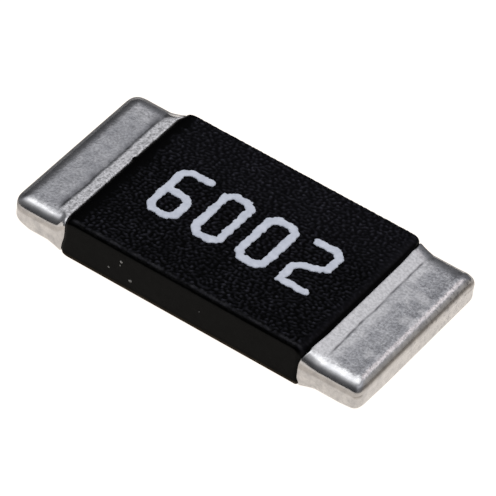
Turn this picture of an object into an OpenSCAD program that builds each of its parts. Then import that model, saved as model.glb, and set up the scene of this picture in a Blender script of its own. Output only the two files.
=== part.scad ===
// Surface-mount current-sense chip resistor: a flat alloy strip with a plated
// copper terminal butted to each end, a black coat moulded around the middle,
// and a printed number on top.
// Lengths are in millimetres. +X runs along the length, +Y to the back, +Z up.
// The underside of the coat lies on z = 0.

/* [Overall] */
// Length over both terminals
chip_l = 6.35; // [6.1:0.05:6.6]
// Width of the coat and of the terminals
chip_w = 3.18; // [3.1:0.02:3.4]

/* [Coat] */
// Length of the black coat
coat_l = 4.4; // [4.2:0.02:4.6]
// Height of the black coat
coat_h = 0.73; // [0.7:0.01:0.9]
// Shift of the coat along the length
coat_shift = -0.035; // [-0.12:0.005:0.12]
// Radius of the coat's long edges
coat_edge_r = 0.05; // [0.02:0.01:0.1]
// Radius of the coat's end edges
coat_end_r = 0.11; // [0.04:0.01:0.14]

/* [Terminals] */
// Height of the terminals' underside above the coat's underside
term_z0 = 0.07; // [0.06:0.005:0.1]
// Height of the terminals' flat top
term_z1 = 0.62; // [0.58:0.005:0.63]
// Radius of the terminals' top edges
term_top_r = 0.2; // [0.06:0.01:0.22]
// Radius of the terminals' bottom edges
term_low_r = 0.14; // [0.04:0.01:0.18]
// Radius of the terminals' upright outer corners
term_corner_r = 0.18; // [0.1:0.01:0.4]
// Length of the raised shoulder next to the coat
shoulder_l = 0.25; // [0.15:0.01:0.4]
// Rise of the shoulder above the flat top
shoulder_up = 0.045; // [0.02:0.005:0.06]
// Drop of the shoulder below the flat underside
shoulder_down = 0.05; // [0.02:0.005:0.055]

/* [Strip] */
// Length of the alloy strip between the two butt joints
strip_l = 3.7; // [3.2:0.05:3.8]
// Width of the alloy strip and of the terminal tongues
strip_w = 2.98; // [2.6:0.02:2.98]
// Thickness of the alloy strip and of the terminal tongues
strip_t = 0.37; // [0.3:0.01:0.4]

/* [Number] */
// Height of a printed figure, stroke included
figure_h = 1.17; // [0.9:0.01:1.4]
// Width of a printed figure, stroke included
figure_w = 0.6; // [0.5:0.01:0.64]
// Distance from one figure to the next
figure_pitch = 0.81; // [0.78:0.01:0.86]
// Width of the printed stroke
stroke_w = 0.15; // [0.1:0.01:0.16]
// Thickness of the ink
ink_t = 0.015; // [0.01:0.005:0.03]

/* [Hidden] */
$fn = 64;
half_l = chip_l / 2;
half_w = chip_w / 2;
coat_right = coat_shift + coat_l / 2;
coat_left = coat_shift - coat_l / 2;
strip_mid = (term_z0 + term_z1) / 2;
strip_z0 = strip_mid - strip_t / 2;
strip_z1 = strip_mid + strip_t / 2;
figure_cut = 0.1;
number_x = 0.0;
number_y = -0.025;

// A rectangle from [x0, y0] to [x1, y1] with its corners rounded: the two lower ones and the two upper ones.
module rounded(x0, y0, x1, y1, low, high) {
    translate([x0 + low, y0]) square([x1 - x0 - 2 * low, y1 - y0 - high]);
    translate([x0, y0 + low]) square([x1 - x0, y1 - y0 - low - high]);
    translate([x0 + high, y0 + low]) square([x1 - x0 - 2 * high, y1 - y0 - low]);
    for (x = [x0 + low, x1 - low]) translate([x, y0 + low]) circle(low);
    for (x = [x0 + high, x1 - high]) translate([x, y1 - high]) circle(high);
}

// A profile drawn in X and Z, run along Y past both sides.
module along_y(length) {
    translate([0, length / 2, 0]) rotate([90, 0, 0]) linear_extrude(length) children();
}

// A profile drawn in Y and Z, run along X from x0 to x1.
module along_x(x0, x1) {
    translate([x0, 0, 0]) rotate([90, 0, 90]) linear_extrude(x1 - x0) children();
}

// The outer, flat part of a terminal: rounded at its end, along its sides and at its upright corners.
module terminal_slab(inner_x) {
    intersection() {
        along_y(chip_w + 1) rounded(inner_x - 1, term_z0, half_l, term_z1, term_low_r, term_top_r);
        along_x(inner_x, half_l + 1) rounded(-half_w, term_z0, half_w, term_z1, term_low_r, term_top_r);
        translate([0, 0, -1]) linear_extrude(3)
            rounded(inner_x - 1, -half_w, half_l, half_w, term_corner_r, term_corner_r);
    }
}

// The shoulder that rises and drops from the flat part to the coat's end.
module terminal_shoulder(inner_x) {
    kink = inner_x + shoulder_l;
    up = atan2(shoulder_up, shoulder_l);
    down = atan2(shoulder_down, shoulder_l);
    intersection() {
        along_y(chip_w + 1) polygon([
            [inner_x, term_z0 - shoulder_down], [kink, term_z0],
            [kink, term_z1], [inner_x, term_z1 + shoulder_up]]);
        translate([kink, 0, term_z1]) rotate([0, up, 0])
            along_x(-1, 1) rounded(-half_w, -1, half_w, 0, term_low_r, term_top_r);
        translate([kink, 0, term_z0]) rotate([0, -down, 0])
            along_x(-1, 1) rounded(-half_w, 0, half_w, 1, term_low_r, term_top_r);
    }
}

// A right-hand terminal whose shoulder starts at inner_x, with its tongue running in to the strip.
module terminal(inner_x) {
    terminal_slab(inner_x);
    terminal_shoulder(inner_x);
    translate([strip_l / 2, -strip_w / 2, strip_z0])
        cube([inner_x + 0.1 - strip_l / 2, strip_w, strip_t]);
}

module right_terminal() {
    color([0.72, 0.71, 0.69]) terminal(coat_right);
}

module left_terminal() {
    color([0.72, 0.71, 0.69]) mirror([1, 0, 0]) terminal(-coat_left);
}

// The plain alloy strip inside the coat, between the two tongues.
module resistive_strip() {
    color([0.45, 0.44, 0.42])
        translate([-strip_l / 2, -strip_w / 2, strip_z0]) cube([strip_l, strip_w, strip_t]);
}

// The coat: a sleeve around the strip and the tongues, rounded at its ends and along its sides.
module epoxy_coat() {
    color([0.03, 0.03, 0.032]) difference() {
        intersection() {
            along_y(chip_w + 1) rounded(coat_left, 0, coat_right, coat_h, coat_end_r, coat_end_r);
            along_x(coat_left - 1, coat_right + 1)
                rounded(-half_w, 0, half_w, coat_h, coat_edge_r, coat_edge_r);
        }
        translate([coat_left - 1, -strip_w / 2, strip_z0])
            cube([coat_l + 2, strip_w, strip_t]);
    }
}

// Unit direction from a to b, and the direction square to it.
function heading(a, b) = (b - a) / norm(b - a);
function square_to(d) = [-d[1], d[0]];

// Where the edge of a stroke turns at point i of a path, s to one side of it.
function turn_at(p, i, s) =
    let (n = len(p),
         a = i == 0 ? square_to(heading(p[0], p[1])) : square_to(heading(p[i - 1], p[i])),
         b = i == n - 1 ? a : square_to(heading(p[i], p[i + 1])),
         m = a + b)
    p[i] + m * (2 * s / (m * m));

// The same at point i of a closed path.
function turn_round(p, i, s) =
    let (n = len(p),
         a = square_to(heading(p[(i + n - 1) % n], p[i])),
         b = square_to(heading(p[i], p[(i + 1) % n])),
         m = a + b)
    p[i] + m * (2 * s / (m * m));

module open_stroke(p) {
    last = len(p) - 1;
    polygon(concat([for (i = [0:last]) turn_at(p, i, stroke_w / 2)],
                   [for (i = [last:-1:0]) turn_at(p, i, -stroke_w / 2)]));
}

module closed_stroke(p) {
    last = len(p) - 1;
    difference() {
        polygon([for (i = [0:last]) turn_round(p, i, stroke_w / 2)]);
        polygon([for (i = [0:last]) turn_round(p, i, -stroke_w / 2)]);
    }
}

// Centre lines of the figures, in a cell from [0, 0] to [cw, ch].
cw = figure_w - stroke_w;
ch = figure_h - stroke_w;
fc = figure_cut;

// An outer outline with the lower loop's opening taken out.
module figure_six() {
    s = stroke_w / 2;
    path = [[cw, ch], [fc, ch], [0, ch - fc], [0, fc], [fc, 0], [cw - fc, 0],
            [cw, fc], [cw, ch * 0.5 - fc], [cw - fc, ch * 0.5], [0, ch * 0.5]];
    loop = [for (i = [3:9]) path[i]];
    difference() {
        polygon(concat([for (i = [0:8]) turn_at(path, i, -s)], [[s, ch * 0.5 + s]],
                       [for (i = [2:-1:0]) turn_at(path, i, s)]));
        polygon([for (i = [0:6]) turn_round(loop, i, s)]);
    }
}

// Drawn clockwise, so that the first edge is the outer one.
module figure_nought() {
    closed_stroke([[0, fc], [0, ch - fc], [fc, ch], [cw - fc, ch],
                   [cw, ch - fc], [cw, fc], [cw - fc, 0], [fc, 0]]);
}

module figure_two() {
    open_stroke([[0, ch], [cw - fc, ch], [cw, ch - fc], [cw, ch * 0.62], [cw - fc, ch * 0.53],
                 [fc, ch * 0.44], [0, ch * 0.35], [0, 0], [cw, 0]]);
}

module printed_number() {
    x0 = number_x - 1.5 * figure_pitch - cw / 2;
    color([0.62, 0.65, 0.71])
        translate([x0, number_y - ch / 2, coat_h]) linear_extrude(ink_t) {
            figure_six();
            translate([figure_pitch, 0]) figure_nought();
            translate([2 * figure_pitch, 0]) figure_nought();
            translate([3 * figure_pitch, 0]) figure_two();
        }
}

resistive_strip();
left_terminal();
right_terminal();
epoxy_coat();
printed_number();
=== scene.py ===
import math

import bmesh
import bpy
import numpy as np
from mathutils import Matrix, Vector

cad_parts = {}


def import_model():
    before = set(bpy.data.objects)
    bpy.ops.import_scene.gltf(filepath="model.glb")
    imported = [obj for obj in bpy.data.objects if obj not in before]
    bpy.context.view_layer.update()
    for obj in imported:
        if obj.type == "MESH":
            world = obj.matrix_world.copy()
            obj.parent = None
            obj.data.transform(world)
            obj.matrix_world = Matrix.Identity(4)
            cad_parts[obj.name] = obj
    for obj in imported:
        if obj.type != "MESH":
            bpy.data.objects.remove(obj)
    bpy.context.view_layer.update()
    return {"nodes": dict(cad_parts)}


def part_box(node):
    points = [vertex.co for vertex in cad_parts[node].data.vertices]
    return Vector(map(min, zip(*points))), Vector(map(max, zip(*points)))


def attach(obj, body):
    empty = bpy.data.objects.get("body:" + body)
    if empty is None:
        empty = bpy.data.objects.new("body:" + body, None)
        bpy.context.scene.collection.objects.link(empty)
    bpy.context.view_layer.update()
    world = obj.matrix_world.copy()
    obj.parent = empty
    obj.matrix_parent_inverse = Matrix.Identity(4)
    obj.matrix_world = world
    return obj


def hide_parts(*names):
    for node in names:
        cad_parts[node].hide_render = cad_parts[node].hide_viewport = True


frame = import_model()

# The CAD box, straight after loading.
MM = 0.001


def node_box(name):
    """Lowest and highest corner of a CAD node, in millimetres."""
    lo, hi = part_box(name)
    return np.array(lo) / MM, np.array(hi) / MM


COAT_LO, COAT_HI = node_box("epoxy_coat")
LEFT_LO, LEFT_HI = node_box("left_terminal")
RIGHT_LO, RIGHT_HI = node_box("right_terminal")
STRIP_LO, STRIP_HI = node_box("resistive_strip")
INK_LO, INK_HI = node_box("printed_number")

HALF_W = COAT_HI[1]
COAT_H = COAT_HI[2]
COAT_L, COAT_R = COAT_LO[0], COAT_HI[0]
END = RIGHT_HI[0]


# ---------------------------------------------------------------- numbers

def smooth(t):
    t = np.clip(t, 0.0, 1.0)
    return t * t * (3.0 - 2.0 * t)


def lattice(ix, iy, seed):
    """A repeatable value from 0 to 1 at each whole-number point."""
    n = (ix.astype(np.int64) * 374761393 + iy.astype(np.int64) * 668265263 + seed * 2147483647) & 0xFFFFFFFF
    n = ((n ^ (n >> 13)) * 1274126177) & 0xFFFFFFFF
    n = (n ^ (n >> 16)) & 0xFFFFFFFF
    return n / 4294967295.0


def value_noise(x, y, size, seed):
    """Smooth noise from -1 to 1 with cells of the given size."""
    x, y = np.asarray(x, float) / size, np.asarray(y, float) / size
    x, y = np.broadcast_arrays(x, y)
    ix, iy = np.floor(x), np.floor(y)
    fx, fy = smooth(x - ix), smooth(y - iy)
    a, b = lattice(ix, iy, seed), lattice(ix + 1, iy, seed)
    c, d = lattice(ix, iy + 1, seed), lattice(ix + 1, iy + 1, seed)
    return 2.0 * ((a + (b - a) * fx) * (1 - fy) + (c + (d - c) * fx) * fy) - 1.0


class Pebbles:
    """A height field of close, rounded bumps of one main size, from -1 to 1, somewhat longer along the angle lean."""

    def __init__(self, wave, spread, seed, lean, longer, step=0.0075, size=(4.8, 3.6)):
        nx, ny = int(size[0] / step), int(size[1] / step)
        white = np.random.RandomState(seed).standard_normal((ny, nx))
        ky, kx = np.meshgrid(np.fft.fftfreq(ny, step), np.fft.fftfreq(nx, step), indexing="ij")
        c, d = math.cos(math.radians(lean)), math.sin(math.radians(lean))
        k = np.hypot(longer * (kx * c + ky * d), ky * c - kx * d)
        band = np.exp(-0.5 * ((k - 1.0 / wave) / (spread / wave)) ** 2)
        field = np.fft.ifft2(np.fft.fft2(white) * band).real
        field /= field.std()
        self.h = np.tanh(field * 0.75)
        self.step, self.origin = step, (-size[0] / 2, -size[1] / 2)

    def sigma(self, x, y):
        """The height before its peaks are flattened, in standard deviations."""
        return np.arctanh(np.clip(self(x, y), -0.995, 0.995)) / 0.75

    def __call__(self, x, y):
        h, ny, nx = self.h, *self.h.shape
        u = np.clip((np.asarray(x) - self.origin[0]) / self.step, 0, nx - 2.001)
        v = np.clip((np.asarray(y) - self.origin[1]) / self.step, 0, ny - 2.001)
        i, j = u.astype(int), v.astype(int)
        fu, fv = u - i, v - j
        return (h[j, i] * (1 - fu) + h[j, i + 1] * fu) * (1 - fv) + (
            h[j + 1, i] * (1 - fu) + h[j + 1, i + 1] * fu) * fv


# ---------------------------------------------------------------- meshes

def add_mesh(name, verts_mm, quads, attrs=None):
    """An object from vertices in millimetres and four-cornered faces, turned outwards, with smooth shading."""
    me = bpy.data.meshes.new(name)
    me.from_pydata((np.asarray(verts_mm, float) * MM).tolist(), [], np.asarray(quads).tolist())
    me.validate()
    bm = bmesh.new()
    bm.from_mesh(me)
    bmesh.ops.recalc_face_normals(bm, faces=bm.faces[:])
    bm.to_mesh(me)
    bm.free()
    me.polygons.foreach_set("use_smooth", np.ones(len(me.polygons), dtype=bool))
    for key, values in (attrs or {}).items():
        at = me.attributes.new(key, "FLOAT", "POINT")
        at.data.foreach_set("value", np.asarray(values, np.float32))
    me.update()
    ob = bpy.data.objects.new(name, me)
    bpy.context.scene.collection.objects.link(ob)
    return ob


def ring_quads(n_loops, n, start=0, wrap=False):
    """Faces between neighbouring closed loops of n points."""
    i = np.arange(n_loops if wrap else n_loops - 1)
    j = np.arange(n)
    a = (i[:, None] * n + j[None, :])
    b = (i[:, None] * n + (j[None, :] + 1) % n)
    i2 = (i + 1) % n_loops
    c = (i2[:, None] * n + (j[None, :] + 1) % n)
    d = (i2[:, None] * n + j[None, :])
    return (np.stack([a, b, c, d], -1).reshape(-1, 4) + start)


def spread(a, b, n, ends=True):
    """n values from a to b, without the last if ends is false."""
    return np.linspace(a, b, n, endpoint=ends)


class Section:
    """A rounded rectangle in Y and Z, always with the same number of points in the same order:
    top from +Y to -Y, front corner, front side, bottom, back side."""

    def __init__(self, n_top, n_side, n_bottom, n_corner):
        self.n = (n_top, n_side, n_bottom, n_corner)

    def points(self, w, z0, z1, r, back, low):
        nt, ns, nb, nc = self.n
        y, z = [], []
        y.append(spread(w - back, -(w - r), nt, False)); z.append(np.full(nt, z1))
        t = spread(0, np.pi / 2, nc, False)
        y.append(-(w - r) - r * np.sin(t)); z.append(z1 - r + r * np.cos(t))
        y.append(np.full(ns, -w)); z.append(spread(z1 - r, z0 + low, ns, False))
        y.append(-(w - low) - low * np.cos(t)); z.append(z0 + low - low * np.sin(t))
        y.append(spread(-(w - low), w - low, nb, False)); z.append(np.full(nb, z0))
        y.append((w - low) + low * np.sin(t)); z.append(z0 + low - low * np.cos(t))
        y.append(np.full(ns, w)); z.append(spread(z0 + low, z1 - back, ns, False))
        y.append((w - back) + back * np.cos(t)); z.append(z1 - back + back * np.sin(t))
        return np.concatenate(y), np.concatenate(z)


def rounded_end(x, end, run, drop):
    """How far a surface has fallen at x on its way to a rounded end."""
    t = np.clip((np.abs(x) - (abs(end) - run)) / run, 0.0, 1.0)
    return arc(t, drop)


def arc(t, drop):
    """A quarter ellipse that falls by drop as t goes from 0 to 1."""
    return drop * (1.0 - np.sqrt(np.maximum(0.0, 1.0 - t * t)))


class Bend:
    """An edge in section: a soft bend over run that ends in a tighter edge from turn_at on."""

    def __init__(self, run, bend, power, turn_at, drop):
        self.run, self.rest = run, (bend, power, turn_at, drop)

    def __call__(self, g):
        bend, power, turn_at, drop = self.rest
        return bend * g ** power + arc(np.clip((g - turn_at) / (1.0 - turn_at), 0.0, 1.0), drop)


class Edge:
    """An edge in section from a list of lengths along it and its tilts there, in millimetres and degrees."""

    def __init__(self, *points):
        length, tilt = zip(*points)
        a = np.linspace(0, length[-1], 2001)
        t = np.radians(np.interp(a, length, tilt))
        self.out = np.concatenate([[0], np.cumsum(np.cos(t[:-1]))]) * a[1]
        self.fall = np.concatenate([[0], np.cumsum(np.sin(t[:-1]))]) * a[1]
        self.run = self.out[-1]

    def __call__(self, g):
        return np.interp(g * self.run, self.out, self.fall)


def inset(y, z, side):
    """How far the line between coat and metal runs in towards the long sides, at +X (side 1) or -X (side -1)."""
    far = np.abs(y)
    low = np.where(y < 0, smooth((0.17 - z) / 0.12), 0.0)
    if side > 0:
        return 0.02 * smooth((far - 0.95) / 0.45) + np.where(y < 0, 0.095, 0.035) * (1 - 0.55 * low) * smooth((far - 1.40) / 0.24)
    slant = np.where(y < 0, smooth((0.38 - z) / 0.26), 0.0)
    return 0.05 * (1 - 0.75 * slant) * smooth((far - 1.36) / 0.24)


# ---------------------------------------------------------------- coat

grain = Pebbles(wave=0.074, spread=0.42, seed=11, lean=28.0, longer=1.3)
GRAIN = 0.009


def coat_top(x, y):
    """The height of the coat's top, grain included."""
    z = COAT_H - rounded_end(np.where(x < 0, x, 0), COAT_L, 0.20, 0.085) \
        - rounded_end(np.where(x > 0, x, 0), COAT_R, 0.14, 0.105)
    left = smooth((x - (COAT_L + 0.16)) / 0.16)
    right = smooth(((COAT_R - 0.09) - x) / 0.12)
    return z + GRAIN * grain(x, y) * left * right - GRAIN


def make_coat():
    sec = Section(n_top=200, n_side=12, n_bottom=20, n_corner=12)
    ends = spread(0, np.pi / 2, 12)
    left = COAT_L + 0.2 - 0.2 * np.sin(ends[::-1])
    right = COAT_R - 0.14 + 0.14 * np.sin(ends)
    xs = np.concatenate([left[:-1], spread(left[-1], right[0], 256), right[1:]])
    loops = []
    for x in xs:
        le = x < 0
        top = rounded_end(x, COAT_L, 0.20, 0.085) if le else rounded_end(x, COAT_R, 0.14, 0.105)
        low = rounded_end(x, COAT_L, 0.13, 0.09) if le else rounded_end(x, COAT_R, 0.05, 0.05)
        side = rounded_end(x, COAT_L if le else COAT_R, 0.05, 0.03)
        y, z = sec.points(HALF_W - side, low, COAT_H - top, 0.066, 0.030, 0.027)
        loops.append(np.stack([np.full_like(y, x), y, z], -1))
    v = np.array(loops)
    nt, ns, nb, nc = sec.n
    on_top = np.zeros(v.shape[1]); on_top[:nt + 1] = 1.0
    # The grain runs out over the corner arcs.
    for k in range(nc):
        on_top[nt + k] = max(on_top[nt + k], 1 - (k / nc) ** 1.5)
        on_top[-1 - k] = 1 - ((k + 1) / nc) ** 1.5
    X, Y = v[..., 0], v[..., 1]
    lift = coat_top(X, Y) - (COAT_H - rounded_end(np.where(X < 0, X, 0), COAT_L, 0.20, 0.085)
                             - rounded_end(np.where(X > 0, X, 0), COAT_R, 0.14, 0.105))
    v[..., 2] += lift * on_top[None, :]
    # The ends run in towards the sides and are slightly uneven where the coat stops on the metal.
    for e, k in ((COAT_L, -1), (COAT_R, 1)):
        v[..., 0] -= k * smooth(1 - np.abs(X - e) / 0.40) * inset(Y, v[..., 2], k)
        near = smooth(1 - np.abs(X - e) / 0.05)
        s = 0.010 * value_noise(Y + 7, v[..., 2] * 2, 0.09, 3) + 0.006 * value_noise(Y, v[..., 2] * 2, 0.04, 4)
        v[..., 0] += near * s * 0.6
        if k < 0:
            v[..., 0] -= near * 0.035 * np.exp(-((Y - 0.24) / 0.045) ** 2) * (v[..., 2] > 0.45)
    # The tunnel that holds the strip.
    ty, tz = sec.points(STRIP_HI[1], STRIP_LO[2], STRIP_HI[2], 0.004, 0.004, 0.004)
    tunnel = [np.stack([np.full_like(ty, x), ty, tz], -1) for x in spread(COAT_R, COAT_L, 5)]
    v = np.concatenate([v, np.array(tunnel)])
    quads = ring_quads(len(v), v.shape[1], wrap=True)
    # Painted glints on the grain's peaks, a little paler towards the back and near the right end and stopping short of
    # the bare left end, and a painted highlight along the front rim.
    arch = spread(0, 1, nc, False)
    wall = np.ones(v.shape[1])
    wall[:nt] = 0
    wall[nt:nt + nc] = smooth((arch - 0.66) / 0.44)
    wall[-nc:] = smooth((arch[::-1] - 0.6) / 0.4)
    comb = 0.06 * value_noise(0 * X, Y, 0.055, 64) + 0.02 * value_noise(X, Y, 0.04, 65)
    body = smooth((X - (COAT_L + 0.20) + comb) / 0.12)
    to_end = smooth((X - (COAT_R - 0.20)) / 0.08)
    back = smooth((Y - 0.2) / 0.8)
    g = grain.sigma(X, Y)
    patch = 1 + 0.30 * value_noise(X + 2, Y, 0.33, 61)
    tip = np.clip(0.0016 + 0.0047 * g + 0.0016 * g * g, 0, None) * patch * (1 - 0.55 * to_end)
    tip = (tip + 0.0016 * back + 0.0026 * to_end) * smooth((COAT_R - 0.035 - X) / 0.06) * body / 0.030
    # Painted highlight along the front top edge, and a painted glint streak on it near the left end.
    rub = np.exp(-((Y + 1.514) / 0.024) ** 2) * smooth((X - (COAT_L + 0.10)) / 0.12) * smooth((COAT_R - 0.04 - X) / 0.10)
    rub = rub * (0.80 + 0.80 * value_noise(X, 0 * X, 0.085, 62) + 0.40 * value_noise(X, 0 * X + 3, 0.035, 63))
    rub = rub + 1.6 * np.exp(-((X + 1.92) / 0.022) ** 2 - ((Y + 1.51) / 0.016) ** 2) \
        + 0.7 * np.exp(-((X + 2.01) / 0.06) ** 2 - ((Y + 1.505) / 0.010) ** 2)
    inner = np.zeros((len(tunnel), v.shape[1]))
    not_over = smooth((Y + 1.562) / 0.025)
    tip, rub = tip * not_over, rub * not_over
    # Painted shade: the side turns black along its bottom edge.
    foot_shade = 1 - 0.6 * smooth((0.14 - v[:len(xs), :, 2]) / 0.06)
    top_only = (1 - wall)[None, :]
    masks = {"grained": on_top[None, :] * body * (1 - to_end), "tip": np.clip(tip * top_only, 0, 1),
             "rub": np.clip(rub * top_only, 0, 1), "wall": wall[None, :] * foot_shade,
             "brown": wall[None, :] * smooth((0.082 - v[:len(xs), :, 2]) / 0.04) * smooth((v[:len(xs), :, 2] - 0.002) / 0.016)}
    return add_mesh("coat", v.reshape(-1, 3), quads,
                    {k: np.concatenate([a, inner]).ravel() for k, a in masks.items()})


# ---------------------------------------------------------------- terminals

def make_terminal(name, inner, side, z0, z1, up, down, kink, weld, seed, end_x, front, back, end, corner, front_more,
                  line, haze, matte_from, lift, dish, calm_from, edge_shade_amounts, ear, back_sheen, dull, narrow, spots):
    """A terminal at +X (side 1) or -X (side -1), in its own x running outwards from the middle.
    inner is where it leaves the coat, kink where the shoulder meets the flat and end_x where it ends. front, back
    and end are the roundings of the top's edges, and corner is how square the plan's two corners are.
    line is the groove at the kink (depth, inner half, outer half, darkness), whose darkness is painted shade in the
    groove, calm_from where along their width the front's and the end's edges turn smooth, edge_shade_amounts how far
    the edges are painted dark as shade (front, end band, end rim, back rim), ear how far the front edge stays up next
    to the coat, back_sheen how far the flat is painted paler at the back as a sheen, dull how far the back and end rims
    are painted dull and dark as shade, narrow how far the back side is set in, spots a list of small marks (x, y,
    radius, height, darkness), whose darkness is that of small pits, and painted shade on the wide marks at a front
    corner."""
    w0, low_r, lip_r, n_side = HALF_W, 0.11, 0.04, 14
    turn = np.sin(spread(0, np.pi / 2, 30))
    s = np.concatenate([-((w0 - front.run) + front.run * turn)[::-1], spread(-(w0 - front.run), w0 - back.run, 150)[1:-1],
                        (w0 - back.run) + back.run * turn])[None, :] / w0
    last = np.pi / 2 * (1 - (1 - spread(0, 1, 34)) ** 1.6)
    xs = np.concatenate([
        inner + lip_r - lip_r * np.sin(spread(0, np.pi / 2, 8)[::-1])[:-1],
        spread(inner + lip_r, kink - 0.05, 24)[:-1],
        spread(kink - 0.05, kink + 0.09, 34)[:-1],
        spread(kink + 0.09, end_x - end.run, 36)[:-1],
        end_x - end.run + end.run * np.sin(last)])
    x = xs[:, None]
    behind = s > 0
    run0 = np.where(behind, back.run, front.run)
    p = np.where(behind, corner[1], corner[0])
    ue = np.clip((x - (end_x - end.run)) / end.run, 0, 1)
    w0 = np.where(behind, w0 - narrow * smooth((x - inner) / 0.25), w0)
    w = w0 - run0 + run0 * (1 - ue ** p) ** (1 / p)
    lip = 0.8 * arc(np.clip((inner + lip_r - x) / lip_r, 0, 1), lip_r)
    y = s * (w - lip)
    kx = kink + 0.010 * value_noise(y, 0 * y + seed, 0.35, seed) + 0.004 * value_noise(y, 0 * y, 0.09, seed + 1)
    # Shoulder: a concave sweep from the flat up to the coat, with a tighter edge at the back.
    q = np.clip((kx - x) / (kx - inner), 0, 1)
    rise = q ** 1.4
    tight = np.where(behind, q ** 1.5, 0)
    up_front = np.where(behind, 0, ear * smooth((q - 0.48) / 0.46))
    run = (run0 - 0.11 * tight - np.where(behind, 0, 0.8 * front_more * q)) * (1 - 0.7 * up_front)
    us = np.clip(1 - (w0 - lip - np.abs(y)) / run, 0, 1)
    both = us ** p + ue ** p
    g = np.minimum(both ** (1 / p), 1.0)
    share = np.where(both > 0, us ** p / np.maximum(both, 1e-9), 1.0)
    at_side = np.where(behind, (1 - 0.62 * tight) * back(g),
                       (1 - 0.8 * up_front) * front(g) + arc(g, front_more) * q)
    fall = share * at_side + (1 - share) * end(g) + np.where(behind & (side > 0), 0.09 * (us * ue) ** 2, 0)
    inside = smooth((1 - g) / 0.5)
    curl = dish * np.clip((x - 2.78) / 0.17, 0, 1.1) ** 2
    wave = 0.0028 * value_noise(x + seed, y, 0.42, seed + 2) + 0.0010 * value_noise(x, y + seed, 0.13, seed + 3)
    depth, half_in, half_out, line_dark = line
    reach_y = np.where(y > 0, 1.36 + 0.14 * (side < 0), 1.36)
    broken = np.clip(0.80 + 0.40 * value_noise(y, 0 * y + 3, 0.11, seed + 4), 0.3, 1) * smooth((reach_y - np.abs(y)) / 0.2)
    wider = 1 + 1.3 * (side < 0) * smooth((y - 1.12) / 0.25)
    at_kink = np.exp(-((x - kx) / (wider * np.where(x < kx, half_in, half_out))) ** 2) * broken
    # Painted shade in the groove along the kink; the spots add the dark of small pits and painted shade at the left
    # front corner.
    mark, dark = 0 * y, line_dark * at_kink
    for mx, my, mr, mh, md in spots:
        near = np.exp(-((x - mx) ** 2 + (y - my) ** 2) / mr ** 2)
        mark, dark = mark + mh * near, np.maximum(dark, md * near)
    top = z1 + up * rise + curl - fall + (wave - depth * at_kink + mark) * inside - lip
    # The bottom's rounding is smaller, and its front corner is lifted a little.
    reach = share * run + (1 - share) * end.run
    rb = low_r * (1 - (0.8 if side > 0 else 0.6) * q)
    ub = np.clip(1 - (1 - g) * reach / rb, 0, 1)
    raised = lift * np.clip((x - 2.83) / 0.30, 0, 1) * smooth((-y - 0.7) / 0.8)
    bottom = z0 - down * rise + arc(ub, 1.0) * rb + raised + lip
    # Order: top from +Y to -Y, front side down, bottom from -Y to +Y, back side up.
    f = (np.arange(n_side) + 1) / (n_side + 1)
    wall_f = top[:, :1] * (1 - f) + bottom[:, :1] * f
    wall_b = bottom[:, -1:] * (1 - f) + top[:, -1:] * f
    one = np.ones((1, n_side))
    yy = np.concatenate([y[:, ::-1], y[:, :1] * one, y, y[:, -1:] * one], 1)
    zz = np.concatenate([top[:, ::-1], wall_f, bottom, wall_b], 1)
    # The inner end follows the coat's end.
    xx = x - inset(yy, zz, side) * smooth(1 - (x - inner) / 0.24)
    v = np.stack([xx, yy, zz], -1)
    n, nt = v.shape[1], s.shape[1]
    patchy = np.clip(0.80 + 0.45 * value_noise(x, y, 0.24, seed + 5) + 0.25 * value_noise(x, y, 0.10, seed + 6), 0.1, 1.2)
    cloud = smooth((value_noise(x + 4, y, 0.30, seed + 7) + 0.6 * value_noise(x, y, 0.11, seed + 8) - 0.1) / 0.9)
    # Painted sheen: the flat is made paler and matte towards its back.
    painted_back_sheen = back_sheen * smooth((y - 0.95) / 0.25) * smooth((0.30 - g) / 0.30)
    veil = painted_back_sheen + haze * np.maximum(patchy * smooth(1 - (x - kx - 0.07) / 0.23), 0.75 * cloud) * smooth((0.6 - g) / 0.5)
    matte = np.maximum(smooth((kx - x - matte_from) / 0.05 + 0.5) * smooth((0.36 - g) / 0.3), veil)
    none = np.zeros((len(xs), n_side))
    full = none + 1
    matte = np.concatenate([matte[:, ::-1], none, 0 * y, none], 1)
    dark = np.concatenate([dark[:, ::-1], none, 0 * y, none], 1)
    first = share * np.where(behind, 0.25, calm_from[0]) + (1 - share) * calm_from[1]
    calm = smooth((g - first) / 0.25)
    calm = np.concatenate([calm[:, ::-1], none + 0.85, 0 * y + 0.5, none + 0.85], 1)
    # Painted shade along the top's edges: front, end band, end rim and back rim.
    tan = share * np.where(behind, edge_shade_amounts[3] * smooth((g - 0.86) / 0.08), edge_shade_amounts[0] * smooth((g - 0.93) / 0.05)) \
        + (1 - share) * (edge_shade_amounts[1] * smooth((g - 0.78) / 0.06) * (1 - 0.9 * smooth((g - 0.90) / 0.10))
                         + edge_shade_amounts[2] * smooth((g - 0.86) / 0.08))
    # Painted shade on the back and end rims and on the top of the back wall.
    rim = dull * (share * np.where(behind, smooth((g - 0.60) / 0.16), 0) + (1 - share) * smooth((g - 0.64) / 0.16))
    rim = np.concatenate([rim[:, ::-1], none, 0 * y, none + dull * smooth((f - 0.8) / 0.2)], 1)
    # Painted shade along the top of the front wall, wider at the front corner, and down the top of the end face and the
    # back wall.
    at_corner = smooth((ue - 0.25) / 0.35) * smooth((1 - ue) / 0.12)
    wall_edge_shade = (edge_shade_amounts[0] * smooth((1 - ue) / 0.12) + 0.35 * (edge_shade_amounts[1] > 0) * at_corner) * (1 - smooth(f / (0.18 + 0.25 * at_corner)))
    end_edge_shade = edge_shade_amounts[2] * (1 - smooth(f / 0.2))
    tan = np.concatenate([tan[:, ::-1], wall_edge_shade, 0 * y, none + edge_shade_amounts[3] * smooth((f - 0.8) / 0.2)], 1)
    warm = np.concatenate([smooth((g - 0.85) / 0.15)[:, ::-1], full, 0 * y + 1, full], 1)
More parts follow.
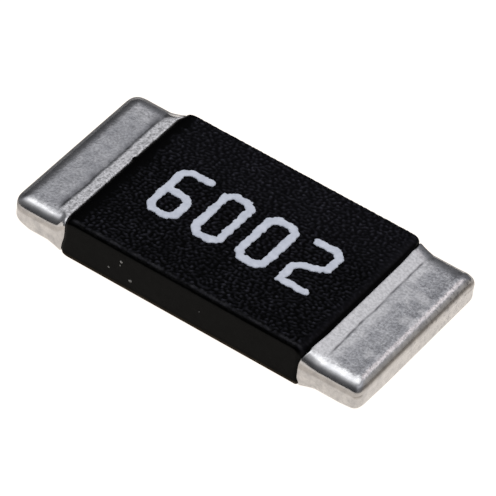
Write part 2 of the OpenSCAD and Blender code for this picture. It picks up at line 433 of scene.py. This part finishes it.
    # The tongue that runs in to the strip.
    sy_h, sz0, sz1 = STRIP_HI[1], STRIP_LO[2], STRIP_HI[2]
    line_y = s[0] * sy_h
    ty = np.concatenate([line_y[::-1], np.full(n_side, -sy_h), line_y, np.full(n_side, sy_h)])
    tz = np.concatenate([np.full(nt, sz1), spread(sz1, sz0, n_side + 2)[1:-1], np.full(nt, sz0),
                         spread(sz0, sz1, n_side + 2)[1:-1]])
    tongue = np.array([np.stack([np.full_like(ty, e), ty, tz], -1) for e in (weld, inner)])
    v = np.concatenate([tongue, v])
    attrs = {k: np.concatenate([np.zeros((2, n)), a]).ravel() for k, a in
             (("matte", matte), ("dark", dark), ("warm", warm), ("calm", calm), ("tan", tan), ("rim", rim))}
    verts = v.reshape(-1, 3)
    quads = [ring_quads(len(v), n)]
    # Close both ends with rows that run from the top to the bottom.
    for li in (0, len(v) - 1):
        base = li * n
        first = base + np.arange(nt)
        fr = base + nt + np.arange(n_side)
        low = base + nt + n_side + np.arange(nt)[::-1]
        bk = (base + nt + n_side + nt + np.arange(n_side))[::-1]
        rows = [first]
        for k in range(n_side):
            mid = verts[first[1:-1]] * (1 - f[k]) + verts[low[1:-1]] * f[k]
            ids = len(verts) + np.arange(nt - 2)
            verts = np.concatenate([verts, mid])
            rows.append(np.concatenate([[bk[k]], ids, [fr[k]]]))
        rows.append(low)
        gr = np.array(rows)
        quads.append(np.stack([gr[:-1, :-1], gr[:-1, 1:], gr[1:, 1:], gr[1:, :-1]], -1).reshape(-1, 4))
    more = len(verts) - len(attrs["matte"])
    for k, value in (("matte", 0.0), ("dark", 0.0), ("warm", 1.0), ("calm", 0.85), ("tan", 0.0), ("rim", 0.0)):
        attrs[k] = np.concatenate([attrs[k], np.full(more, value)])
    # Painted edge shade and rim shade down the top of the end faces.
    attrs["tan"][-more // 2:] = np.repeat(end_edge_shade, nt - 2)
    attrs["rim"][-more // 2:] = np.repeat(dull * (1 - smooth(f / 0.2)), nt - 2)
    verts = verts.copy()
    verts[:, 0] *= side
    return add_mesh(name, verts, np.concatenate(quads), attrs)


# ---------------------------------------------------------------- number

FIG_H, FIG_W, STROKE, CUT = 1.17, 0.60, 0.15, 0.10
CW, CH = FIG_W - STROKE, FIG_H - STROKE
SIX = [[(CW, CH), (CUT, CH), (0, CH - CUT), (0, CUT), (CUT, 0), (CW - CUT, 0), (CW, CUT),
        (CW, CH * .5 - CUT), (CW - CUT, CH * .5), (0, CH * .5)]]
NOUGHT = [[(0, CUT), (0, CH - CUT), (CUT, CH), (CW - CUT, CH), (CW, CH - CUT), (CW, CUT),
           (CW - CUT, 0), (CUT, 0), (0, CUT)]]
TWO = [[(0, CH), (CW - CUT, CH), (CW, CH - CUT), (CW, CH * .62), (CW - CUT, CH * .53),
        (CUT, CH * .44), (0, CH * .35), (0, 0), (CW, 0)]]


def make_number():
    x0, y0 = INK_LO[0] + STROKE / 2, INK_LO[1] + STROKE / 2
    pitch = (INK_HI[0] - INK_LO[0] - FIG_W) / 3
    segs = []
    for i, fig in enumerate((SIX, NOUGHT, NOUGHT, TWO)):
        for path in fig:
            for a, b in zip(path[:-1], path[1:]):
                segs.append((a[0] + x0 + i * pitch, a[1] + y0, b[0] + x0 + i * pitch, b[1] + y0))
    segs = np.array(segs)

    def dist(x, y):
        best = np.full(x.shape, 9.0)
        for ax, ay, bx, by in segs:
            dx, dy = bx - ax, by - ay
            t = np.clip(((x - ax) * dx + (y - ay) * dy) / (dx * dx + dy * dy), 0, 1)
            best = np.minimum(best, np.hypot(x - ax - t * dx, y - ay - t * dy))
        # Printed in dots, so the edge is wavy.
        ripple = 0.016 * value_noise(x, y + 5, 0.058, 21) + 0.008 * value_noise(x + 3, y, 0.034, 22)
        return best - STROKE / 2 + 0.005 + ripple

    h = 0.0145
    gx = np.arange(INK_LO[0] - 0.03, INK_HI[0] + 0.03, h)
    gy = np.arange(INK_LO[1] - 0.03, INK_HI[1] + 0.03, h)
    cx, cy = np.meshgrid(gx[:-1] + h / 2, gy[:-1] + h / 2, indexing="ij")
    cell = dist(cx, cy) < 0
    # Corners that only touch are opened.
    for _ in range(3):
        a, b, c, d = cell[:-1, :-1], cell[1:, :-1], cell[:-1, 1:], cell[1:, 1:]
        bad1, bad2 = a & d & ~b & ~c, b & c & ~a & ~d
        cell[1:, 1:][bad1] = False
        cell[1:, :-1][bad2] = False
    ii, jj = np.nonzero(cell)
    ny = len(gy)
    corner = np.stack([ii * ny + jj, (ii + 1) * ny + jj, (ii + 1) * ny + jj + 1, ii * ny + jj + 1], -1)
    used, inv = np.unique(corner.ravel(), return_inverse=True)
    quads = inv.reshape(-1, 4)
    px, py = gx[used // ny].copy(), gy[used % ny].copy()
    # Edges that belong to one cell make the outline.
    e = np.concatenate([quads[:, [0, 1]], quads[:, [1, 2]], quads[:, [2, 3]], quads[:, [3, 0]]])
    key = np.sort(e, 1)
    _, first, count = np.unique(key, axis=0, return_index=True, return_counts=True)
    rim = e[first[count == 1]]
    on_rim = np.unique(rim)
    for _ in range(4):
        x, y = px[on_rim], py[on_rim]
        f = dist(x, y)
        gxx = (dist(x + 1e-3, y) - dist(x - 1e-3, y)) / 2e-3
        gyy = (dist(x, y + 1e-3) - dist(x, y - 1e-3)) / 2e-3
        n2 = np.maximum(gxx ** 2 + gyy ** 2, 0.3)
        move = np.clip(f, -0.012, 0.012)
        px[on_rim] -= move * gxx / n2
        py[on_rim] -= move * gyy / n2
    surf = coat_top(px, py)
    edge = np.clip(-dist(px, py) / 0.03, 0, 1)
    top = COAT_H + 0.30 * (surf - COAT_H) + 0.011 * np.sqrt(edge * (2 - edge)) + 0.001
    low = np.full_like(top, COAT_H - 0.024)
    n = len(px)
    verts = np.concatenate([np.stack([px, py, top], -1), np.stack([px, py, low], -1)])
    walls = np.stack([rim[:, 1], rim[:, 0], rim[:, 0] + n, rim[:, 1] + n], -1)
    faces = np.concatenate([quads, quads[:, ::-1] + n, walls])
    return add_mesh("number", verts, faces)


# ---------------------------------------------------------------- dust

def make_dust():
    """White specks that stick to the coat's front side."""
    specks = [(-1.137, 0.505, 0.026, 0.024), (-1.148, 0.425, 0.011, 0.016), (-1.346, 0.272, 0.022, 0.014),
              (-0.946, 0.232, 0.030, 0.024), (0.306, 0.378, 0.009, 0.006)]
    verts, quads, base = [], [], 0
    for k, (x, z, a, b) in enumerate(specks):
        n, m = 14, 6
        for i in range(m):
            th = np.pi * (i + 0.5) / m
            ph = np.arange(n) * 2 * np.pi / n
            wob = 1 + 0.22 * value_noise(np.cos(ph) * 2 + 9 * k, np.sin(ph) * 2 + i * 0.7, 1.0, 31)
            verts.append(np.stack([x + a * wob * np.sin(th) * np.cos(ph),
                                   np.full(n, -HALF_W - 0.006 * np.cos(th)),
                                   z + b * wob * np.sin(th) * np.sin(ph)], -1))
        quads.append(ring_quads(m, n, start=base))
        quads.append(np.array([[base, base + j + 1, base + j + 2, base + j + 3] for j in range(0, n - 3, 2)]))
        e = base + (m - 1) * n
        quads.append(np.array([[e, e + j + 3, e + j + 2, e + j + 1] for j in range(0, n - 3, 2)]))
        base += m * n
    return add_mesh("dust", np.concatenate(verts), np.concatenate(quads))


# ---------------------------------------------------------------- materials

def material(name):
    m = bpy.data.materials.new(name)
    m.use_nodes = True
    nt = m.node_tree
    return m, nt, nt.nodes["Principled BSDF"]


def mm_coords(nt, per_mm=(1.0, 1.0, 1.0)):
    tc = nt.nodes.new("ShaderNodeTexCoord")
    mp = nt.nodes.new("ShaderNodeMapping")
    mp.inputs["Scale"].default_value = tuple(1000 * k for k in per_mm)
    nt.links.new(tc.outputs["Object"], mp.inputs["Vector"])
    return mp.outputs["Vector"]


def noise(nt, vec, scale, detail=2.0, rough=0.5):
    n = nt.nodes.new("ShaderNodeTexNoise")
    n.inputs["Scale"].default_value = scale
    n.inputs["Detail"].default_value = detail
    n.inputs["Roughness"].default_value = rough
    nt.links.new(vec, n.inputs["Vector"])
    return n.outputs["Fac"]


def ramp(nt, fac, stops):
    n = nt.nodes.new("ShaderNodeValToRGB")
    cr = n.color_ramp
    while len(cr.elements) > 1:
        cr.elements.remove(cr.elements[-1])
    for i, (p, c) in enumerate(stops):
        c = (c, c, c, 1) if not isinstance(c, tuple) else (*c, 1)
        el = cr.elements[0] if i == 0 else cr.elements.new(p)
        el.position, el.color = p, c
    nt.links.new(fac, n.inputs["Fac"])
    return n.outputs["Color"]


def mix(nt, fac, a, b, mode="MIX"):
    n = nt.nodes.new("ShaderNodeMix")
    n.data_type, n.blend_type = "RGBA", mode
    for value, key in ((fac, 0), (a, 6), (b, 7)):
        if isinstance(value, (int, float)):
            n.inputs[key].default_value = value if key == 0 else (value, value, value, 1)
        elif isinstance(value, tuple):
            n.inputs[key].default_value = (*value, 1)
        else:
            nt.links.new(value, n.inputs[key])
    return n.outputs[2]


def bump(nt, height, strength, distance, normal=None):
    n = nt.nodes.new("ShaderNodeBump")
    n.inputs["Strength"].default_value = strength
    n.inputs["Distance"].default_value = distance
    nt.links.new(height, n.inputs["Height"])
    if normal is not None:
        nt.links.new(normal, n.inputs["Normal"])
    return n.outputs["Normal"]


def attribute(nt, name):
    n = nt.nodes.new("ShaderNodeAttribute")
    n.attribute_name = name
    return n.outputs["Fac"]


def tin(name, grain_m, mottle_m, gain, speck, pits, pale_low, pale_high, speckle, dull):
    """Satin tin: grain_m and mottle_m are the heights of the fine and the broad relief, gain and speck the brightness
    and fine contrast of the flat, pits how dark the small pits at the back are, pale_low and pale_high the range of
    the matte shoulder, speckle its fine contrast, dull whether the rims are painted dull and dark as shade."""
    m, nt, p = material(name)
    v = mm_coords(nt)
    matte, dark, warm, calm, tan = (attribute(nt, k) for k in ("matte", "dark", "warm", "calm", "tan"))
    fine = noise(nt, v, 24.0, 2.0, 0.6)
    broad = noise(nt, v, 7.0, 3.0, 0.6)
    hair = noise(nt, mm_coords(nt, (14.0, 60.0, 14.0)), 1.0, 2.0, 0.6)
    base = ramp(nt, broad, [(0.30, (0.385 * gain, 0.388 * gain, 0.400 * gain)), (0.70, (0.550 * gain, 0.550 * gain, 0.554 * gain))])
    spotted = mix(nt, speck, base, ramp(nt, fine, [(0.30, 0.50), (0.64, 1.0)]), "MULTIPLY")
    base = mix(nt, calm, spotted, mix(nt, speck * 0.45, base, 0.55, "MULTIPLY"))
    if pits:
        sp = nt.nodes.new("ShaderNodeSeparateXYZ")
        nt.links.new(v, sp.inputs[0])
        far = nt.nodes.new("ShaderNodeMapRange")
        far.inputs["From Min"].default_value, far.inputs["From Max"].default_value = -0.7, 0.5
        nt.links.new(sp.outputs["Y"], far.inputs["Value"])
        pit = ramp(nt, noise(nt, v, 21.0, 2.0, 0.6), [(0.54, 0.0), (0.66, pits)])
        pit = mix(nt, 1.0, pit, far.outputs["Result"], "MULTIPLY")
        base = mix(nt, pit, base, (0.22, 0.22, 0.235))
    pale = ramp(nt, hair, [(0.30, (pale_low, pale_low, pale_low * 1.02)), (0.70, (pale_high, pale_high, pale_high * 1.01))])
    pale = mix(nt, speckle, pale, ramp(nt, fine, [(0.33, 0.45), (0.60, 1.0)]), "MULTIPLY")
    base = mix(nt, matte, base, pale)
    base = mix(nt, warm, base, mix(nt, 1.0, base, (0.98, 0.955, 0.92), "MULTIPLY"))
    # Painted shade along the edges: the base colour there is darkened towards brown-grey.
    base = mix(nt, tan, base, mix(nt, 1.0, base, (0.42, 0.39, 0.355), "MULTIPLY"))
    # Painted shade in the kink's groove and at the left front corner, and the dark of small pits.
    base = mix(nt, dark, base, (0.13, 0.13, 0.14))
    p.inputs["Metallic"].default_value = 1.0
    # Painted shade on the rims: dark grey, less metallic, with a lower IOR.
    if dull:
        rim = attribute(nt, "rim")
        base = mix(nt, rim, base, ramp(nt, broad, [(0.3, (0.070, 0.071, 0.073)), (0.7, (0.110, 0.111, 0.114))]))
        nt.links.new(mix(nt, rim, (1.0, 1.0, 1.0), (0.2, 0.2, 0.2)), p.inputs["Metallic"])
        ior = nt.nodes.new("ShaderNodeMath")
        ior.operation = "MULTIPLY_ADD"
        ior.inputs[1].default_value, ior.inputs[2].default_value = -0.35, 1.45
        nt.links.new(rim, ior.inputs[0])
        nt.links.new(ior.outputs[0], p.inputs["IOR"])
    nt.links.new(base, p.inputs["Base Color"])
    # Where the edges are painted as shade, the reflection is also tinted darker and made rougher.
    nt.links.new(mix(nt, tan, (1.0, 1.0, 1.0), (0.35, 0.34, 0.33)), p.inputs["Specular Tint"])
    rough = ramp(nt, fine, [(0.3, 0.17), (0.7, 0.24)])
    rough = mix(nt, calm, rough, 0.14)
    rough = mix(nt, matte, rough, 0.72)
    rough = mix(nt, tan, rough, 0.40)
    nt.links.new(rough, p.inputs["Roughness"])
    # The edges are smoother than the flats.
    n1 = bump(nt, mix(nt, calm, fine, mix(nt, 0.15, (0.5, 0.5, 0.5), fine)), 1.0, grain_m)
    n2 = bump(nt, mix(nt, calm, broad, mix(nt, 0.3, (0.5, 0.5, 0.5), broad)), 1.0, mottle_m, n1)
    nt.links.new(n2, p.inputs["Normal"])
    return m


def epoxy():
    m, nt, p = material("black_coat")
    v = mm_coords(nt)
    fine = noise(nt, v, 24.0, 2.0, 0.6)
    tone = noise(nt, v, 11.0, 2.0, 0.5)
    # Painted glints on the grain's peaks and a painted highlight along the front rim.
    base = mix(nt, attribute(nt, "tip"), (0.0001, 0.0001, 0.00015), (0.030, 0.030, 0.039))
    base = mix(nt, attribute(nt, "rub"), base, ramp(nt, fine, [(0.3, (0.012, 0.012, 0.014)), (0.7, (0.026, 0.026, 0.029))]))
    base = mix(nt, attribute(nt, "wall"), base, ramp(nt, tone, [(0.3, (0.0038, 0.0038, 0.0035)), (0.7, (0.0052, 0.0052, 0.0049))]))
    base = mix(nt, attribute(nt, "brown"), base, ramp(nt, tone, [(0.3, (0.018, 0.012, 0.006)), (0.7, (0.040, 0.029, 0.018))]))
    nt.links.new(base, p.inputs["Base Color"])
    rough = ramp(nt, noise(nt, v, 9.0, 2.0, 0.5), [(0.3, 0.20), (0.7, 0.28)])
    nt.links.new(rough, p.inputs["Roughness"])
    p.inputs["IOR"].default_value = 1.085
    relief = mix(nt, attribute(nt, "grained"), (0.5, 0.5, 0.5), fine)
    nt.links.new(bump(nt, relief, 1.0, 4.0e-6), p.inputs["Normal"])
    return m


def ink():
    m, nt, p = material("white_ink")
    v = mm_coords(nt)
    base = ramp(nt, noise(nt, v, 9.0, 3.0, 0.6), [(0.3, (0.50, 0.535, 0.61)), (0.7, (0.62, 0.655, 0.73))])
    nt.links.new(base, p.inputs["Base Color"])
    p.inputs["Roughness"].default_value = 0.7
    p.inputs["Specular IOR Level"].default_value = 0.25
    nt.links.new(bump(nt, noise(nt, v, 26.0, 2.0, 0.6), 0.4, 2.0e-6), p.inputs["Normal"])
    return m


def alloy():
    m, nt, p = material("rolled_alloy")
    v = mm_coords(nt)
    base = ramp(nt, noise(nt, v, 12.0, 3.0, 0.6), [(0.3, (0.33, 0.32, 0.30)), (0.7, (0.46, 0.45, 0.43))])
    nt.links.new(base, p.inputs["Base Color"])
    p.inputs["Metallic"].default_value = 1.0
    p.inputs["Roughness"].default_value = 0.4
    nt.links.new(bump(nt, noise(nt, v, 30.0, 2.0, 0.6), 0.3, 2.0e-6), p.inputs["Normal"])
    return m


def dust_white():
    m, nt, p = material("dust_white")
    v = mm_coords(nt)
    base = ramp(nt, noise(nt, v, 40.0, 2.0, 0.5), [(0.3, (0.10, 0.10, 0.095)), (0.7, (0.22, 0.22, 0.215))])
    nt.links.new(base, p.inputs["Base Color"])
    p.inputs["Roughness"].default_value = 0.9
    return m


# ---------------------------------------------------------------- the object

FRONT = Edge((0, 0), (.029, 5), (.056, 10), (.082, 14), (.106, 17), (.131, 21), (.154, 26), (.177, 31), (.199, 36),
             (.221, 43), (.243, 51), (.261, 55), (.282, 58), (.304, 62), (.325, 67), (.348, 73), (.372, 80), (.400, 88))
FRONT_L = Edge((0, 0), (.029, 3), (.066, 6), (.098, 11), (.124, 16), (.142, 21), (.157, 26), (.172, 31), (.189, 36),
               (.214, 43), (.240, 51), (.261, 55), (.282, 58), (.304, 62), (.325, 67), (.348, 73), (.372, 80), (.400, 88))
OUTER = Edge((0, 0), (.039, 8), (.075, 19), (.105, 29), (.128, 38), (.149, 45), (.172, 49), (.191, 51.5), (.206, 54.5),
             (.222, 58.5), (.239, 63.5), (.257, 70), (.276, 78), (.300, 88))
coat = make_coat()
right = make_terminal("right_tin", COAT_R, 1, RIGHT_LO[2] + 0.05, RIGHT_HI[2] - 0.045, 0.045, 0.060, 2.402, STRIP_HI[0], 41,
                      end_x=END, front=FRONT, back=Bend(0.36, 0.091, 2.0, 0.93, 0.03),
                      end=OUTER, corner=(3.4, 7.0), front_more=0.05,
                      line=(0.004, 0.016, 0.018, 0.85), haze=0.75, matte_from=-0.02, lift=0.03, dish=0.0065, calm_from=(0.25, 0.50),
                      edge_shade_amounts=(0.40, 0.92, 0.0, 0.5), ear=0.0, back_sheen=0.12, dull=0.0, narrow=0.012,
                      spots=[(2.453, 1.129, 0.022, 0.006, 0.0), (2.430, -0.694, 0.022, 0.006, 0.0)])
# The two wide dark spots at this terminal's front corner are painted shade.
left = make_terminal("left_tin", -COAT_L, -1, LEFT_LO[2] + 0.05, LEFT_HI[2] - 0.045, 0.045, 0.042, 2.490, -STRIP_LO[0], 57,
                     end_x=END - 0.016, front=FRONT_L, back=Bend(0.300, 0.087, 2.1, 0.955, 0.03),
                     end=Bend(0.258, 0.090, 2.0, 0.95, 0.03), corner=(3.2, 3.0), front_more=0.0,
                     line=(0.010, 0.045, 0.070, 0.85), haze=0.0, matte_from=0.05, lift=0.09, dish=0.0, calm_from=(0.45, 0.25),
                     edge_shade_amounts=(0.38, 0.0, 0.6, 0.55), ear=0.55, back_sheen=0.42, dull=0.95, narrow=0.019,
                     spots=[(2.373, -0.088, 0.018, -0.003, 0.5), (2.293, 1.014, 0.016, -0.003, 0.4),
                            (2.787, -0.301, 0.014, -0.003, 0.4),
                            (3.060, -1.440, 0.070, 0.0, 0.85), (3.020, -1.370, 0.045, 0.0, 0.45), (2.690, -1.345, 0.014, -0.004, 0.6),
                            (2.560, -1.330, 0.012, -0.004, 0.6), (2.800, -1.300, 0.012, 0.005, 0.0), (2.900, -1.290, 0.013, 0.005, 0.0)])
number = make_number()
dust = make_dust()

TIN_R = tin("satin_tin_right", 3.6e-6, 4.0e-6, 1.21, 1.0, 0.75, 0.70, 0.78, 0.40, False)
TIN_L = tin("satin_tin_left", 3.0e-6, 3.6e-6, 1.16, 0.75, 0.0, 0.75, 0.83, 0.95, True)
COAT, INK, ALLOY, DUST = epoxy(), ink(), alloy(), dust_white()
for ob, mat, node, slot in ((coat, COAT, "epoxy_coat", "coat"), (right, TIN_R, "right_terminal", "plated_copper"),
                            (left, TIN_L, "left_terminal", "plated_copper"), (number, INK, "printed_number", "ink"),
                            (dust, DUST, None, None)):
    ob.data.materials.clear()
    ob.data.materials.append(mat)
    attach(ob, "root")
    if node:
        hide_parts(node)
strip = frame["nodes"]["resistive_strip"]
strip.data.materials.clear()
strip.data.materials.append(ALLOY)


# ---------------------------------------------------------------- floor, light, camera

def floor():
    me = bpy.data.meshes.new("floor")
    s = 0.6
    me.from_pydata([(-s, -s, 0), (s, -s, 0), (s, s, 0), (-s, s, 0)], [], [(0, 1, 2, 3)])
    ob = bpy.data.objects.new("floor", me)
    bpy.context.scene.collection.objects.link(ob)
    m, nt, p = material("pale_floor")
    p.inputs["Base Color"].default_value = (0.10, 0.10, 0.10, 1)
    p.inputs["Roughness"].default_value = 0.9
    p.inputs["Specular IOR Level"].default_value = 0.0
    p.inputs["Emission Color"].default_value = (1.12, 1.05, 0.985, 1)
    p.inputs["Emission Strength"].default_value = 1.0
    me.materials.append(m)
    return ob


def softbox(name, loc, target, sx, sy, radiance, color=(1, 1, 1)):
    li = bpy.data.lights.new(name, "AREA")
    li.shape, li.size, li.size_y = "RECTANGLE", sx, sy
    li.energy = radiance * math.pi * sx * sy
    li.color = color
    ob = bpy.data.objects.new(name, li)
    bpy.context.scene.collection.objects.link(ob)
    loc, target = np.array(loc, float), np.array(target, float)
    z = loc - target
    z /= np.linalg.norm(z)
    x = np.cross([0, 1, 0.001], z)
    x /= np.linalg.norm(x)
    y = np.cross(z, x)
    ob.matrix_world = Matrix([[x[0], y[0], z[0], loc[0]], [x[1], y[1], z[1], loc[1]],
                              [x[2], y[2], z[2], loc[2]], [0, 0, 0, 1]])
    return ob


def lobe(nt, vec, direction, inner, outer):
    """1 within inner degrees of a direction, falling to 0 at outer degrees."""
    d = toward(nt, vec, direction)
    r = nt.nodes.new("ShaderNodeMapRange")
    r.interpolation_type = "SMOOTHSTEP"
    r.inputs["From Min"].default_value = math.cos(math.radians(outer))
    r.inputs["From Max"].default_value = math.cos(math.radians(inner))
    nt.links.new(d, r.inputs["Value"])
    return r.outputs["Result"]


def toward(nt, vec, direction):
    """The cosine of the angle to a direction."""
    d = nt.nodes.new("ShaderNodeVectorMath")
    d.operation = "DOT_PRODUCT"
    u = np.array(direction, float)
    d.inputs[1].default_value = tuple(u / np.linalg.norm(u))
    nt.links.new(vec, d.inputs[0])
    return d.outputs["Value"]


def soft_lobe(nt, vec, direction, power):
    """The cosine of the angle to a direction, raised to a power, and 0 behind."""
    a = nt.nodes.new("ShaderNodeMath")
    a.operation = "MAXIMUM"
    nt.links.new(toward(nt, vec, direction), a.inputs[0])
    a.inputs[1].default_value = 0.0
    b = nt.nodes.new("ShaderNodeMath")
    b.operation = "POWER"
    nt.links.new(a.outputs[0], b.inputs[0])
    b.inputs[1].default_value = power
    return b.outputs[0]


def world():
    w = bpy.data.worlds.new("studio")
    bpy.context.scene.world = w
    w.use_nodes = True
    nt = w.node_tree
    bg = nt.nodes["Background"]
    tc = nt.nodes.new("ShaderNodeTexCoord")
    sp = nt.nodes.new("ShaderNodeSeparateXYZ")
    vec = tc.outputs["Generated"]
    nt.links.new(vec, sp.inputs[0])
    tint = (1.0, 1.005, 1.07)
    stops = [(0.0, 0.12), (0.10, 0.20), (0.23, 0.28), (0.34, 0.34), (0.44, 0.44), (0.54, 0.59), (0.62, 0.72),
             (0.69, 0.83), (0.77, 0.57), (0.90, 0.45), (1.0, 0.45)]
    col = ramp(nt, sp.outputs["Z"], [(z, tuple(b * k for k in tint)) for z, b in stops])
    # Darker towards -X and towards the front.
    col = mix(nt, lobe(nt, vec, (-0.85, 0.50, 0.20), 15, 50), col, mix(nt, 1.0, col, 0.40, "MULTIPLY"))
    col = mix(nt, lobe(nt, vec, (-0.30, -0.90, 0.30), 20, 55), col, mix(nt, 1.0, col, 0.30, "MULTIPLY"))
    # Brighter overhead, at the back on the right, and low on the right.
    for fac, color in ((soft_lobe(nt, vec, (-0.364, -0.27, 0.89), 5.0), (0.55, 0.55, 0.55)),
                       (soft_lobe(nt, vec, (-0.364, -0.12, 0.923), 14.0), (0.95, 0.95, 0.95)),
                       (lobe(nt, vec, (0.08, 0.05, 1.0), 5, 32), (0.9, 0.9, 0.9)),
                       (lobe(nt, vec, (0.28, 0.63, 0.72), 5, 21), (0.80, 0.69, 0.66)),
                       (lobe(nt, vec, (0.80, 0.60, 0.10), 10, 35), (0.24, 0.21, 0.17))):
        glow = mix(nt, fac, (0.0, 0.0, 0.0), color)
        col = mix(nt, 1.0, col, glow, "ADD")
    nt.links.new(col, bg.inputs["Color"])
    bg.inputs["Strength"].default_value = 1.0


def camera():
    f_px, az, el, roll, ox, oy, dist = 5095.68, 29.8111, 43.3710, 7.3463, -6.7374, 16.2389, 76.8006
    a, e, r = (math.radians(v) for v in (az, el, roll))
    back = np.array([math.sin(a) * math.cos(e), -math.cos(a) * math.cos(e), math.sin(e)])
    ahead = -back
    side = np.cross(ahead, [0, 0, 1])
    side /= np.linalg.norm(side)
    up = np.cross(side, ahead)
    R = side * math.cos(r) + up * math.sin(r)
    U = -side * math.sin(r) + up * math.cos(r)
    C = (back * dist - R * (ox / f_px * dist) + U * (oy / f_px * dist)) * MM
    cam = bpy.data.cameras.new("camera")
    cam.sensor_width = 36.0
    cam.lens = f_px / 496.0 * 36.0
    cam.clip_start, cam.clip_end = 0.001, 10.0
    ob = bpy.data.objects.new("camera", cam)
    bpy.context.scene.collection.objects.link(ob)
    ob.matrix_world = Matrix([[R[0], U[0], back[0], C[0]], [R[1], U[1], back[1], C[1]],
                              [R[2], U[2], back[2], C[2]], [0, 0, 0, 1]])
    bpy.context.scene.camera = ob


floor()
world()
softbox("overhead", (-0.104, -0.077, 0.254), (0, 0, 0), 0.10, 0.10, 0.30)
camera()
vs = bpy.context.scene.view_settings
vs.view_transform, vs.look, vs.exposure, vs.gamma = "Standard", "None", 0.0, 1.0
